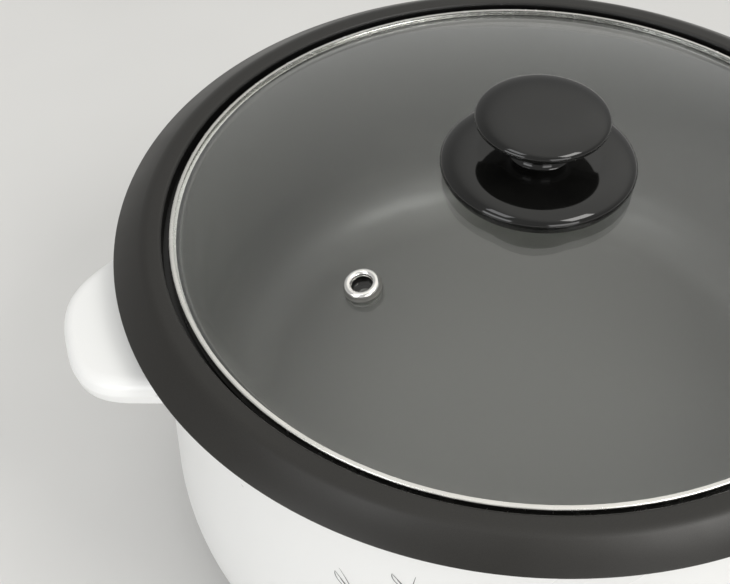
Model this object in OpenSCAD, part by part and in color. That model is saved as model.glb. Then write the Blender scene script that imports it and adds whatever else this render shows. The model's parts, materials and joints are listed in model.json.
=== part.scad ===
// Electric hot pot with a lift-off glass lid.
// Origin: centre of the footprint on the table. +Z up, front at -Y, handles on +X and -X.

/* [Height] */
// Height of the rubber feet under the shell
foot_h = 8; // [5:0.5:14]
// Room under the pan for the heater and the wiring, from the shell's underside
well_h = 39; // [37:0.5:55]
// Depth of the pan, from the lid seat to the cooking floor
pan_depth = 97; // [85:1:110]

/* [Pan] */
// Inner radius of the pan's mouth, at the lid seat
pan_mouth_r = 134; // [130:0.5:136]
// How much narrower the pan's wall is above the bottom curve
pan_draft = 3; // [1.5:0.5:7]
// Radius of the inner curve between wall and floor
pan_curve_r = 27; // [18:1:30]
// Thickness of the pan's wall and floor
pan_wall = 3; // [2:0.5:3.5]

/* [Flange] */
// Width of the flange, from the lid's groove to its outer edge
flange_w = 18.9; // [16.5:0.1:24]
// Drop from the flange's crown to its outer edge
flange_drop = 8.3; // [6.5:0.1:10]
// Slope of the flange outside its crown, in degrees
flange_slope = 45; // [40:1:50]
// Slope of the flange's crown, in degrees
crown_slope = 5; // [2:0.5:8]
// Radius of the roll between crown and slope
roll_r = 7; // [4:0.5:9]
// Thickness of the flange at its crown
flange_t = 3.1; // [2.4:0.1:3.6]
// Depth of the lid seat below the crown
seat_depth = 6.3; // [5.5:0.1:8]

/* [Shell] */
// Gap between the pan's mouth and the outside of the shell's upright wall
body_gap = 8.6; // [7:0.1:10.5]
// How far the flange stands out past the shell's rim
overhang = 7.6; // [6.5:0.1:9]
// Thickness of the shell's moulding
shell_wall = 2.5; // [2:0.1:3]
// Height, above the shell's underside, where the lower wall starts to curve in
tuck_h = 30.6; // [26:0.1:36]
// Radius of the lower wall's long curve
tuck_r = 70; // [60:1:85]
// Radius of the bottom corner
corner_r = 12; // [9:0.5:16]
// Height, above the shell's underside, where the upper wall starts to flare
flare_h = 59; // [50:1:75]
// Gap between the pan's lip and the shell's rim
rim_play = 1.7; // [1.2:0.1:2.2]
// Thickness of the seal between the rim and the flange
seal_t = 2.6; // [1.6:0.1:3.2]

/* [Handles] */
// How far the handles stand out past the flange
ear_out = 21.3; // [16:0.1:28]
// Width of each handle near its tip
ear_w = 51; // [44:1:60]
// How far each side of a handle spreads towards the shell
ear_spread = 14.8; // [8:0.1:18]
// Thickness of each handle
ear_t = 11; // [9:0.5:13]
// Skin of each handle over its hollow
ear_skin = 3; // [2.2:0.1:3.5]
// Drop of the handle's top below the flange's edge, at the root
ear_drop = 6; // [4:0.1:8]
// Downward tilt of the handles, in degrees
ear_tilt = 12; // [6:1:16]
// Radius of the fillet between each handle and the shell
ear_fillet_r = 22; // [16:1:26]
// Distance of each handle screw from the handle's middle
ear_screw_y = 18; // [15:0.5:21]

/* [Lid] */
// How far the lid's steel band reaches past the pan's mouth
lid_lap = 6; // [5:0.1:7]
// Radial play between the band and the flange
lid_play = 2.4; // [1.5:0.1:3]
// Height of the band
band_h = 4.8; // [4.4:0.1:5.6]
// Visible width of the band's upper lip
band_lip = 1.9; // [1.5:0.1:5]
// Sheet thickness of the band
band_t = 0.6; // [0.4:0.1:0.8]
// Rise of the glass from its rim to its middle
glass_rise = 26.8; // [18:0.1:34]
// Thickness of the glass
glass_t = 4; // [3:0.1:5]
// Distance of the steam vent from the middle of the lid
vent_pos_r = 85; // [60:1:105]
// Bearing of the steam vent, in degrees from +X
vent_bearing = -154.7; // [-180:0.1:180]
// Radius of the vent's hole
vent_r = 3.85; // [3:0.05:5]
// Width of the vent's upper flange
vent_lip = 2.55; // [2.3:0.05:4]

/* [Knob] */
// Radius of the knob's lower disc
knob_base_r = 36.8; // [30:0.1:42]
// Rise of the lower disc's dome from its edge to its middle
knob_base_rise = 4.4; // [3:0.1:7]
// Radius of the knob's upper disc
knob_cap_r = 25; // [20:0.1:29]
// Height of the upper disc's edge above the lower disc's edge
knob_lift = 20.9; // [16:0.1:26]
// Radius of the knob's stem
knob_stem_r = 10.5; // [8:0.5:14]
// Height of the crown of the upper disc above its edge
knob_crown = 4; // [3:0.1:8]
// Radius of the retaining disc under the glass
knob_washer_r = 22.5; // [16:0.5:28]
// Thickness of the retaining disc
knob_washer_t = 7.5; // [6:0.5:10]

/* [Controls] */
// Radius of the control dial
dial_r = 19; // [16:0.5:20.5]
// Depth of the dial's axis below the pan
dial_drop = 9; // [8:0.5:10]
// How far the dial stands out from its seat
dial_depth = 11; // [8:0.5:11.5]
// Radius of the dial's spindle
spindle_r = 3; // [2.5:0.1:3.5]
// Radius of the indicator lens
lens_r = 3.5; // [2.5:0.1:4.5]
// Gap between the dial's seat and the lens
lens_gap = 3.1; // [2:0.1:6]

/* [Heater] */
// Distance of the heating ring's centre line inside the circle of the tie screws
ring_gap = 20; // [17:0.5:26]
// Diameter of the heating tube
tube_d = 8; // [6:0.5:8.5]
// Bearing from the rear at which the ring's cold ends turn down, in degrees
cold_end = 15; // [12:1:20]
// Distance of the three tie screws outside the service opening's edge
tie_gap = 16; // [12:0.5:18]

/* [Power inlet] */
// Width of the socket recess
socket_w = 24; // [23:0.5:26]
// Height of the socket recess
socket_h = 16; // [15.5:0.5:18]
// Depth of the socket recess
socket_depth = 16.5; // [14:0.5:19]
// Distance of the outer blades from the middle one
blade_pitch = 7; // [6.7:0.1:8]

/* [Base] */
// Distance of the feet inside the shell's upright wall
foot_inset = 29.6; // [27:0.1:34]
// Radius of each foot at its top
foot_r = 11; // [8:0.5:12]
// Gap between the feet and the base cover
foot_gap = 5; // [2:0.5:8]
// Overlap of the base cover over the edge of the service opening
cover_lap = 30; // [26:0.5:33]
// Thickness of the base cover
cover_t = 2.5; // [2:0.1:3]

/* [Hidden] */

$fn = 96;
eps = 0.01;

// Clearances
fit = 0.05;        // parts of one body that sit in each other
run = 0.05;        // the spindle in its bush
rest_gap = 0.2;    // under the lid's band
bare = 0.3;        // between parts of different bodies

// Colours
white = [0.93, 0.93, 0.92];
charcoal = [0.22, 0.21, 0.2];
steel = [0.8, 0.8, 0.78];
black = [0.08, 0.08, 0.08];

// Radii, from the pan's mouth outwards
pan_foot_r = pan_mouth_r - pan_draft;
lid_r = pan_mouth_r + lid_lap;
lip_r = lid_r + lid_play;
flange_r = lip_r + flange_w;
shell_top_r = flange_r - overhang;
lip_wall = 2.9;
rim_inner_r = lip_r + lip_wall + rim_play;
body_r = pan_mouth_r + pan_wall + body_gap;
ear_reach = flange_r + ear_out;

// Radii, from the feet inwards
foot_pos_r = body_r - foot_inset;
cover_r = foot_pos_r - foot_r - foot_gap;
hatch_r = cover_r - cover_lap;
tie_r = hatch_r + tie_gap;
ring_r = tie_r - ring_gap;

// Heights of the stack
shell_z = foot_h;
floor_top_z = shell_z + shell_wall;
pan_under_z = shell_z + well_h;
pan_floor_z = pan_under_z + pan_wall;
seat_z = pan_floor_z + pan_depth;
crown_z = seat_z + seat_depth;
edge_z = crown_z - flange_drop;
flange_under_z = crown_z - flange_t;
shell_top_z = flange_under_z - seal_t;
shield_t = 0.8;
shield_z = shell_z + 17;
band_z = seat_z + rest_gap;
lid_z = band_z + band_h;

// Points of an arc about c, from angle a0 to a1
function arc(c, r, a0, a1, n) =
    [for (i = [0:n]) let (a = a0 + (a1 - a0) * i / n) c + r * [cos(a), sin(a)]];

// A straight round bar from p to q
module bar(p, q, d) {
    v = q - p;
    flat = norm([v[0], v[1]]);
    translate(p)
        rotate([0, atan2(flat, v[2]), atan2(v[1], v[0])])
            cylinder(d = d, h = norm(v), $fn = 24);
}

// A point of the smooth curve through p1 and p2, at t from 0 to 1, with p0 and p3 beyond them
function spline(p0, p1, p2, p3, t) =
    p1 + t * (p2 - p0) / 2
    + t * t * (p0 - 2.5 * p1 + 2 * p2 - p3 / 2)
    + t * t * t * (-p0 + 3 * p1 - 3 * p2 + p3) / 2;

// The points of path joined by a smooth curve, n steps to a stretch
function smooth(path, n) = let (m = len(path) - 1) concat(
    [for (i = [0:m - 1])
        for (k = [0:n - 1])
            spline(path[max(i - 1, 0)], path[i], path[i + 1], path[min(i + 2, m)], k / n)],
    [path[m]]
);

function unit(v) = v / norm(v);

// Direction of the curve at its i-th point
function heading(path, i) = unit(path[min(i + 1, len(path) - 1)] - path[max(i - 1, 0)]);

// Sideways vectors carried along the curve without twist
function carried(path, i, u) =
    let (t = heading(path, i), side_v = unit(u - (u * t) * t))
    i == len(path) - 1 ? [side_v] : concat([side_v], carried(path, i + 1, side_v));

// A wire of diameter d along a smooth curve through the points of route
module wire(route, d) {
    sides = 6;
    path = smooth(route, 3);
    first = heading(path, 0);
    us = carried(path, 0, abs(first[2]) < 0.9 ? [0, 0, 1] : [1, 0, 0]);
    last = len(path) - 1;
    rings = [for (i = [0:last])
        let (v = cross(heading(path, i), us[i]))
        for (k = [0:sides - 1])
            path[i] + d / 2 * (cos(360 * k / sides) * us[i] + sin(360 * k / sides) * v)];
    walls = [for (i = [0:last - 1])
        for (k = [0:sides - 1])
            let (a = i * sides + k, b = i * sides + (k + 1) % sides)
            each [[a, b, a + sides], [b, b + sides, a + sides]]];
    start_cap = [for (k = [sides - 1:-1:0]) k];
    end_cap = [for (k = [0:sides - 1]) last * sides + k];
    faces = concat(walls, [start_cap, end_cap]);
    polyhedron(points = rings, faces = [for (f = faces) [for (j = [len(f) - 1:-1:0]) f[j]]]);
}

// Copies of the children at the given bearings, r from the axis
module around(bearings, r) {
    for (a = bearings)
        rotate([0, 0, a])
            translate([r, 0, 0])
                children();
}

// A slot with round ends from radius r0 to r1
module radial_slot(r0, r1, w) {
    translate([r0, -w / 2])
        square([r1 - r0, w]);
    for (r = [r0, r1])
        translate([r, 0])
            circle(d = w, $fn = 24);
}

// ---- Shell ----

tie_bearings = [90, 210, 330];
cover_bearings = [45, 135, 225, 315];
foot_bearings = [45, 135, 225, 315];
cover_screw_r = cover_r - 7;

tuck_c = [body_r - tuck_r, shell_z + tuck_h];
corner_z = shell_z + corner_r;
corner_c = [tuck_c[0] + sqrt(pow(tuck_r - corner_r, 2) - pow(tuck_c[1] - corner_z, 2)), corner_z];
tuck_a = atan2(corner_z - tuck_c[1], corner_c[0] - tuck_c[0]);
flare_z = shell_z + flare_h;
flare_rise = shell_top_z - flare_z;
flare_out = shell_top_r - body_r;
flare_r = (flare_rise * flare_rise + flare_out * flare_out) / (2 * flare_out);
flare_c = [body_r + flare_r, flare_z];
flare_a = asin(flare_rise / flare_r);

// The shell's side, moved out by d, from the bottom corner to the rim
function side(d) = concat(
    arc(corner_c, corner_r + d, -90, tuck_a, 8),
    arc(tuck_c, tuck_r + d, tuck_a, 0, 6),
    arc(flare_c, flare_r - d, 180, 180 - flare_a, 8)
);

// Outer and inner radius of the shell at height z in its flared part
function flare_outer_r(z) = flare_c[0] - sqrt(pow(flare_r, 2) - pow(z - flare_z, 2));
function flare_inner_r(z) = flare_c[0] - sqrt(pow(flare_r + shell_wall, 2) - pow(z - flare_z, 2));

// Everything inside the shell's side moved out by d, up to its rim
module shell_core(d) {
    rotate_extrude()
        polygon(concat([[0, shell_z - d]], side(d), [[0, shell_top_z]]));
}

module shell_skin() {
    rim_t = shell_wall;
    inner = side(-shell_wall);
    rotate_extrude()
        polygon(concat(
            [[hatch_r, shell_z]],
            side(0),
            [[rim_inner_r, shell_top_z], [rim_inner_r, shell_top_z - rim_t]],
            [for (i = [len(inner) - 2:-1:0]) inner[i]],
            [[hatch_r, floor_top_z]]
        ));
}

boss_r = 7;
boss_top_z = shield_z - fit;
pilot_r = 1.4;
tie_hole_r = 2.4;
tie_head_r = 4.4;
head_sink = 3.4;

dial_z = pan_under_z - dial_drop;
dial_seat_r = dial_r + 2.4;
lens_z = dial_z + dial_seat_r + lens_gap + lens_r;
inlet_z = shell_z + 23;
pad_y = body_r + 1.4;
flange_plate_t = 2.5;
ear_screw_z = edge_z - ear_drop - ear_t / 2;

module outer_shell() {
    color(white)
    difference() {
        union() {
            shell_skin();
            around(tie_bearings, tie_r)
                translate([0, 0, shell_z + eps])
                    cylinder(r = boss_r, h = boss_top_z - shell_z - eps, $fn = 48);
            around(cover_bearings, cover_screw_r)
                translate([0, 0, shell_z + eps])
                    cylinder(r = 4, h = 12, $fn = 48);
            // flat pad that carries the power inlet
            translate([-28, body_r - shell_wall - 1.5, inlet_z - 13])
                cube([56, pad_y - body_r + shell_wall + 1.5, 26]);
            // pegs for the thermostat's bracket
            for (x = [-12, 12])
                translate([x, bracket_peg_y, floor_top_z - eps])
                    cylinder(r = 1.5, h = 4, $fn = 24);
        }
        around(tie_bearings, tie_r) {
            translate([0, 0, shell_z - 1])
                cylinder(r = tie_hole_r, h = 60, $fn = 48);
            translate([0, 0, shell_z - 1])
                cylinder(r = tie_head_r + 0.5, h = head_sink + 1, $fn = 48);
        }
        around(cover_bearings, cover_screw_r)
            translate([0, 0, shell_z - 1])
                cylinder(r = pilot_r, h = 11, $fn = 24);
        around(foot_bearings, foot_pos_r)
            translate([0, 0, shell_z - 1])
                cylinder(r = foot_neck_r + fit, h = 6, $fn = 48);
        // spindle and lens
        translate([0, -body_r + 10, dial_z])
            rotate([90, 0, 0])
                cylinder(r = spindle_r + 3, h = 20, $fn = 48);
        translate([0, -body_r + 10, lens_z])
            rotate([90, 0, 0])
                cylinder(r = lens_r + fit, h = 20, $fn = 48);
        // power inlet and its two screws
        translate([-inlet_body_w / 2 - 0.3, body_r - 10, inlet_z - inlet_body_h / 2 - 0.3])
            cube([inlet_body_w + 0.6, 20, inlet_body_h + 0.6]);
        for (x = [-inlet_screw_x, inlet_screw_x])
            translate([x, body_r - 10, inlet_z])
                rotate([-90, 0, 0])
                    cylinder(r = pilot_r, h = 20, $fn = 24);
        // handle screws
        for (side_x = [-1, 1])
            for (y = [-ear_screw_y, ear_screw_y])
                translate([side_x * (body_r - 10), y, ear_screw_z])
                    rotate([0, side_x * 90, 0])
                        cylinder(r = 1.8, h = 30, $fn = 24);
    }
}

// ---- Handles ----

ear_root_x = body_r + 4;
ear_z = edge_z - ear_drop;
ear_brow = 5.5;
ear_len = (ear_reach - ear_root_x + ear_brow * sin(ear_tilt)) / cos(ear_tilt);
ear_hollow_r = 4;
ear_pilot_h = 22;
ear_sunk = 14;

// Half width of the handle at distance x from its root, before its tip is rounded
function ear_half(x) = ear_w / 2 + ear_spread * (1 - x / ear_len);

// Plan of the handle, drawn in by d: blunt at the tip, with sides that spread towards the root
function ear_plan(d) = concat(
    [[-ear_sunk, ear_half(-ear_sunk) - d], [-ear_sunk, d - ear_half(-ear_sunk)]],
    [for (i = [0:26])
        let (a = -90 + 180 * i / 26, t = pow(max(0, cos(a)), 1 / 3))
        [(ear_len - d) * t, (ear_half(ear_len * t) - d) * sign(a) * pow(abs(sin(a)), 0.8)]]
);

// Depth below the top and inset of each layer of the rounded edge
ear_edge = [
    [0, 5.2], [0.4, 3.3], [1.3, 1.7], [2.8, 0.6], [ear_brow, 0],
    [ear_t - 1.6, 0.2], [ear_t - 0.4, 0.9], [ear_t, 2]
];

module ear_frame() {
    translate([ear_root_x, 0, ear_z])
        rotate([0, ear_tilt, 0])
            children();
}

module ear_body() {
    ear_frame()
        hull()
            for (layer = ear_edge)
                translate([0, 0, -layer[0] - eps])
                    linear_extrude(eps)
                        polygon(ear_plan(layer[1]));
}

// Outward normal of the handle's side in plan, and the side's distance from the pot's axis
ear_side_a = 90 - atan(ear_spread / ear_len);
ear_side_d = ear_root_x * cos(ear_side_a) + ear_half(0) * sin(ear_side_a);
// Centre of the fillet that touches the handle's side and the shell
ear_fillet_a = ear_side_a - acos((ear_side_d + ear_fillet_r) / (flare_outer_r(ear_screw_z) + ear_fillet_r));
ear_fillet_c = (flare_outer_r(ear_screw_z) + ear_fillet_r) * [cos(ear_fillet_a), sin(ear_fillet_a)];

// Webs that carry the handle's sides into the shell, with eased edges
module ear_webs() {
    low = ear_z - ear_t + 1;
    high = ear_z - 3.4;
    for (m = [0, 1])
        mirror([0, m, 0])
            for (ease = [[0, 1.6], [1, 0.7], [2.2, 0]])
                translate([0, 0, low + ease[0]])
                    linear_extrude(high - low - 2 * ease[0])
                        difference() {
                            polygon([
                                [body_r - 8, 0],
                                [ear_root_x + 4, 0],
                                [ear_root_x + 4, ear_half(4) - 1],
                                ear_fillet_c,
                                [body_r - 8, ear_fillet_c[1] - 2]
                            ]);
                            translate(ear_fillet_c)
                                circle(r = ear_fillet_r + ease[1]);
                        }
}

module ear_hollow() {
    difference() {
        ear_frame()
            translate([0, 0, -ear_t - 1])
                linear_extrude(ear_t + 1 - ear_skin)
                    difference() {
                        polygon(ear_plan(ear_skin + 0.3));
                        translate([-34, -ear_w])
                            square([40, 2 * ear_w]);
                    }
        // ribs and screw bosses left standing in the hollow
        for (y = [-10, 10])
            translate([ear_root_x, y - 1, ear_z - 20])
                cube([12, 2, 20]);
        for (y = [-ear_screw_y, ear_screw_y])
            translate([ear_root_x - 5, y, ear_screw_z])
                rotate([0, 90, 0])
                    cylinder(r = ear_hollow_r, h = 21, $fn = 48);
    }
}

module handle() {
    color(white)
    difference() {
        union() {
            ear_body();
            ear_webs();
        }
        ear_hollow();
        shell_core(fit);
        for (y = [-ear_screw_y, ear_screw_y])
            translate([body_r - 5, y, ear_screw_z])
                rotate([0, 90, 0])
                    cylinder(r = pilot_r, h = ear_pilot_h, $fn = 24);
    }
}

module right_handle() {
    handle();
}

module left_handle() {
    mirror([1, 0, 0])
        handle();
}

module handle_screws() {
    head_r = 3.5;
    seat_x = sqrt(pow(flare_inner_r(ear_screw_z - head_r), 2) - pow(ear_screw_y + head_r, 2)) - fit;
    color(steel)
        for (side_x = [-1, 1])
            for (y = [-ear_screw_y, ear_screw_y])
                translate([side_x * (seat_x - 2), y, ear_screw_z])
                    rotate([0, side_x * 90, 0]) {
                        cylinder(r = head_r, h = 2, $fn = 48);
                        cylinder(r = pilot_r - 0.02, h = body_r - 5 + ear_pilot_h - seat_x + 1.5, $fn = 24);
                    }
}

// ---- Pan ----

pan_taper = atan2(pan_mouth_r - pan_foot_r, pan_depth - pan_curve_r);
pan_curve_c = [pan_foot_r - pan_curve_r, pan_floor_z + pan_curve_r];
floor_r = pan_curve_c[0];
lip_round = 1.5;
seat_round = 1.2;
edge_t = 2.4;
seat_t = 2.5;

roll_dr = roll_r * (sin(flange_slope) - sin(crown_slope));
roll_dz = roll_r * (cos(crown_slope) - cos(flange_slope));
crown_r0 = lip_r + lip_round;
roll_start_r = (edge_z - crown_z - crown_r0 * tan(crown_slope) + roll_dz
    + (flange_r - roll_dr) * tan(flange_slope)) / (tan(flange_slope) - tan(crown_slope));
roll_start_z = crown_z - (roll_start_r - crown_r0) * tan(crown_slope);
roll_c = [roll_start_r - roll_r * sin(crown_slope), roll_start_z - roll_r * cos(crown_slope)];
edge_lip = 0.6;
// where the flange's sloping underside meets its flat one
under_r = flange_r - edge_t - (flange_under_z - edge_z + edge_lip) / tan(flange_slope);

pan_profile = concat(
    arc(pan_curve_c, pan_curve_r, -90, -pan_taper, 10),
    arc([pan_mouth_r + seat_round, seat_z - seat_round], seat_round, 180, 90, 3),
    [[lip_r, seat_z]],
    arc([lip_r + lip_round, crown_z - lip_round], lip_round, 180, 90, 3),
    arc(roll_c, roll_r, 90 - crown_slope, 90 - flange_slope, 6),
    [[flange_r, edge_z], [flange_r - edge_lip, edge_z - edge_lip], [flange_r - edge_t, edge_z - edge_lip]],
    [[under_r, flange_under_z], [lip_r + lip_wall, flange_under_z]],
    [[lip_r + lip_wall, seat_z - seat_t], [pan_mouth_r + pan_wall, seat_z - seat_t]],
    arc(pan_curve_c, pan_curve_r + pan_wall, -pan_taper, -90, 10)
);

stud_r = 2.5;
hub_r = 7;
bracket_t = 1.2;
bracket_top_z = pan_under_z - tube_d - 3 * fit;

// Flange, wall and bottom curve of the pan
module pan() {
    color(charcoal)
    rotate_extrude()
        polygon(pan_profile);
}

// Flat floor of the pan, with the bosses and the stud cast under it
module pan_floor() {
    color(charcoal)
    difference() {
        union() {
            translate([0, 0, pan_under_z])
                cylinder(r = floor_r - fit, h = pan_wall);
            around(tie_bearings, tie_r)
                translate([0, 0, shield_z + shield_t + fit])
                    cylinder(r = 6, h = pan_under_z - shield_z - shield_t, $fn = 48);
            translate([0, 0, bracket_top_z + 0.3])
                cylinder(r = hub_r, h = pan_under_z - bracket_top_z, $fn = 48);
            translate([0, 0, bracket_top_z - bracket_t - 7])
                cylinder(r = stud_r, h = pan_under_z - bracket_top_z + bracket_t + 7, $fn = 48);
        }
        around(tie_bearings, tie_r)
            translate([0, 0, shield_z - 1])
                cylinder(r = tie_hole_r - 0.4, h = well_h - 22, $fn = 48);
    }
}

module rim_seal() {
    color(black)
    translate([0, 0, shell_top_z])
        difference() {
            cylinder(r = shell_top_r - shell_wall, h = seal_t);
            translate([0, 0, -1])
                cylinder(r = rim_inner_r + 0.2, h = seal_t + 2);
        }
}

module tie_screws() {
    color(steel)
    around(tie_bearings, tie_r) {
        translate([0, 0, shell_z + head_sink - 2.4])
            cylinder(r = tie_head_r, h = 2.4, $fn = 48);
        translate([0, 0, shell_z + head_sink - 1])
            cylinder(r = tie_hole_r - 0.45, h = pan_under_z - shell_z - head_sink - 7, $fn = 48);
    }
}

// ---- Heater ----

ring_z = pan_under_z - tube_d / 2 - fit;
cold_bearings = [90 - cold_end, 90 + cold_end];
cold_z = shield_z + 7;
bead_z = shield_z - 3;
pin_z = shield_z - 7;

module heating_element() {
    color([0.45, 0.44, 0.42]) {
        rotate([0, 0, 90 + cold_end])
            translate([0, 0, ring_z])
                rotate_extrude(angle = 360 - 2 * cold_end)
                    translate([ring_r, 0])
                        circle(d = tube_d, $fn = 48);
        around(cold_bearings, ring_r) {
            translate([0, 0, ring_z])
                sphere(d = tube_d, $fn = 48);
            translate([0, 0, cold_z])
                cylinder(d = tube_d, h = ring_z - cold_z, $fn = 48);
        }
    }
}

module element_terminals() {
    color([0.9, 0.88, 0.82])
    around(cold_bearings, ring_r) {
        translate([0, 0, bead_z])
            cylinder(d = tube_d - 1.4, h = cold_z - bead_z, $fn = 48);
        translate([0, 0, pin_z])
            cylinder(r = 1.5, h = bead_z - pin_z + eps, $fn = 24);
    }
}

arm_bearings = [30, 150, 270];
arm_w = 12;

module element_bracket() {
    color(steel)
    difference() {
        union() {
            translate([0, 0, bracket_top_z - bracket_t]) {
                cylinder(r = hub_r + 3, h = bracket_t, $fn = 48);
                around(arm_bearings, 0)
                    translate([0, -arm_w / 2, 0])
                        cube([ring_r + tube_d / 2 + 1 + bracket_t, arm_w, bracket_t]);
            }
            around(arm_bearings, ring_r + tube_d / 2 + 1)
                translate([0, -arm_w / 2, bracket_top_z - eps])
                    cube([bracket_t, arm_w, tube_d * 0.55]);
        }
        translate([0, 0, bracket_top_z - bracket_t - 1])
            cylinder(r = stud_r + 0.2, h = bracket_t + 2, $fn = 48);
    }
}

module bracket_nut() {
    color(steel)
    translate([0, 0, bracket_top_z - bracket_t - fit - 4])
        difference() {
            cylinder(r = 4.6, h = 4, $fn = 6);
            translate([0, 0, -1])
                cylinder(r = stud_r + fit, h = 6, $fn = 48);
        }
}

shield_r = tie_r + 10;

module heat_shield() {
    rim_h = 8;
    rim_out = 4;
    color([0.7, 0.7, 0.7])
    difference() {
        rotate_extrude()
            polygon([
                [0, shield_z],
                [shield_r, shield_z],
                [shield_r + rim_out, shield_z + rim_h],
                [shield_r + rim_out - shield_t, shield_z + rim_h],
                [shield_r - shield_t, shield_z + shield_t],
                [0, shield_z + shield_t]
            ]);
        around(tie_bearings, tie_r)
            translate([0, 0, shield_z - 1])
                cylinder(r = tie_hole_r, h = 3, $fn = 48);
        around(cold_bearings, ring_r)
            translate([0, 0, shield_z - 1])
                cylinder(d = tube_d + 4, h = 3, $fn = 48);
        translate([sensor_hole[0], sensor_hole[1], shield_z - 1])
            cylinder(r = 4, h = 3, $fn = 48);
        for (x = fuse_lead_x)
            translate([x, fuse_y, shield_z - 1])
                cylinder(r = 2.5, h = 3, $fn = 24);
    }
}

// ---- Thermostat, sensor and fuse ----

stat_w = 34;
stat_d = 24;
stat_top = 6.5;
stat_h = 24.5;
stat_y = 17.6 - body_r;
plate_t = 1.2;
bush_r = spindle_r + 1.5;
bush_len = 7;
bracket_peg_y = stat_y + 8;
tab_z = dial_z - 15.5;
tab_len = 4;

module thermostat() {
    color([0.75, 0.72, 0.66])
    difference() {
        union() {
            translate([-stat_w / 2, stat_y, dial_z + stat_top - stat_h])
                cube([stat_w, stat_d, stat_h]);
            translate([0, stat_y + 1, dial_z])
                rotate([90, 0, 0])
                    cylinder(r = bush_r, h = bush_len, $fn = 48);
            for (x = [-9, 9])
                translate([x - 0.4, stat_y + stat_d - 1, tab_z - 2.5])
                    cube([0.8, tab_len + 1, 5]);
        }
        translate([0, stat_y + 8, dial_z])
            rotate([90, 0, 0])
                cylinder(r = spindle_r + run, h = bush_len + 12, $fn = 48);
    }
}

module thermostat_bracket() {
    z0 = floor_top_z + fit;
    color(steel)
    difference() {
        union() {
            translate([-20, stat_y - plate_t - fit, z0])
                cube([40, plate_t, dial_z + stat_top - z0]);
            translate([-20, stat_y - plate_t - fit, z0])
                cube([40, 18, plate_t]);
        }
        translate([0, stat_y + 5, dial_z])
            rotate([90, 0, 0])
                cylinder(r = bush_r + fit, h = 10, $fn = 48);
        for (x = [-12, 12])
            translate([x, bracket_peg_y, z0 - 1])
                cylinder(r = 1.5 + fit, h = 4, $fn = 24);
    }
}

seat_face_y = body_r + 3.6;
dial_back_y = seat_face_y + bare;
dial_face_y = dial_back_y + dial_depth;

// The spindle with a flat along its outer end
module spindle_form(r, start_y, end_y) {
    flat_len = 12;
    difference() {
        translate([0, -start_y, dial_z])
            rotate([90, 0, 0])
                cylinder(r = r, h = end_y - start_y, $fn = 48);
        translate([-10, -end_y - 1, dial_z + r - 1])
            cube([20, flat_len + 1, 5]);
    }
}

module thermostat_spindle() {
    color(steel)
        spindle_form(spindle_r, -stat_y - 7, dial_face_y - 3);
}

bulb_d = 5;
bulb_y = -38;
bulb_len = 46;
bulb_z = pan_under_z - bulb_d / 2 - fit;
stat_back_y = stat_y + stat_d;
sensor_hole = [34, stat_back_y + 26];

module sensor_bulb() {
    half = bulb_len / 2;
    color([0.72, 0.45, 0.3]) {
        bar([-half, bulb_y, bulb_z], [half, bulb_y, bulb_z], bulb_d);
        wire([
            [half - 1, bulb_y, bulb_z],
            [half + 6, bulb_y - 4, bulb_z - 2],
            [sensor_hole[0], sensor_hole[1] + 22, shield_z + 9],
            [sensor_hole[0], sensor_hole[1] + 6, shield_z + 5],
            [sensor_hole[0], sensor_hole[1], shield_z],
            [sensor_hole[0] - 2, sensor_hole[1] - 6, shield_z - 5],
            [24, stat_back_y + 10, shield_z - 6],
            [15, stat_back_y + 3, shield_z - 3],
            [13, stat_back_y + 2, dial_z - 10],
            [13, stat_back_y + fit, dial_z - 10]
        ], 1.8);
    }
}

module sensor_clip() {
    t = 0.8;
    gap = bulb_d / 2 + fit;
    z0 = bracket_top_z + fit;
    color(steel)
        translate([-5, 0, 0]) {
            translate([0, bulb_y - gap - t, z0])
                cube([10, 2 * (gap + t), t]);
            for (y = [bulb_y - gap - t, bulb_y + gap])
                translate([0, y, z0])
                    cube([10, t, bulb_z - z0]);
        }
}

fuse_y = 30;
fuse_d = 4;
fuse_z = pan_under_z - fuse_d / 2 - fit;
fuse_lead_x = [-13, 13];

module thermal_fuse() {
    color([0.85, 0.85, 0.82]) {
        bar([-6, fuse_y, fuse_z], [6, fuse_y, fuse_z], fuse_d);
        for (s = [-1, 1])
            wire([
                [s * 5, fuse_y, fuse_z],
                [s * 9, fuse_y, fuse_z],
                [s * 12.4, fuse_y, fuse_z - 2.5],
                [s * 13, fuse_y, fuse_z - 7],
                [s * 13, fuse_y, shield_z - 6]
            ], 1.2);
    }
}

module fuse_clip() {
    t = 0.8;
    gap = fuse_d / 2 + fit;
    foot_z = bracket_top_z + fit;
    color(steel)
        // a strip from the middle of the bracket that holds the fuse against the pan
        difference() {
            union() {
                translate([-4, hub_r + 0.3, foot_z])
                    cube([8, fuse_y + gap + t - hub_r - 0.3, t]);
                for (y = [fuse_y - gap - t, fuse_y + gap])
                    translate([-4, y, foot_z])
                        cube([8, t, fuse_z - foot_z]);
            }
            translate([0, 0, foot_z - 1])
                cylinder(r = hub_r + 0.2, h = 4, $fn = 48);
        }
}

// ---- Front panel ----

panel_t = 2.2;
panel_w = 2 * dial_r + 18;
panel_bottom_z = dial_z - dial_r - 4.5;
panel_top_z = lens_z + lens_r + 6;

module panel_outline(d) {
    w = panel_w / 2 - d;
    r = 12 - d;
    for (x = [-w + r, w - r])
        for (z = [panel_bottom_z + d + r, panel_top_z - d - r])
            translate([x, z])
                circle(r = r, $fn = 48);
    translate([-w, panel_bottom_z + d + r])
        square([2 * w, panel_top_z - panel_bottom_z - 2 * d - 2 * r]);
    translate([-w + r, panel_bottom_z + d])
        square([2 * (w - r), panel_top_z - panel_bottom_z - 2 * d]);
}

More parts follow.
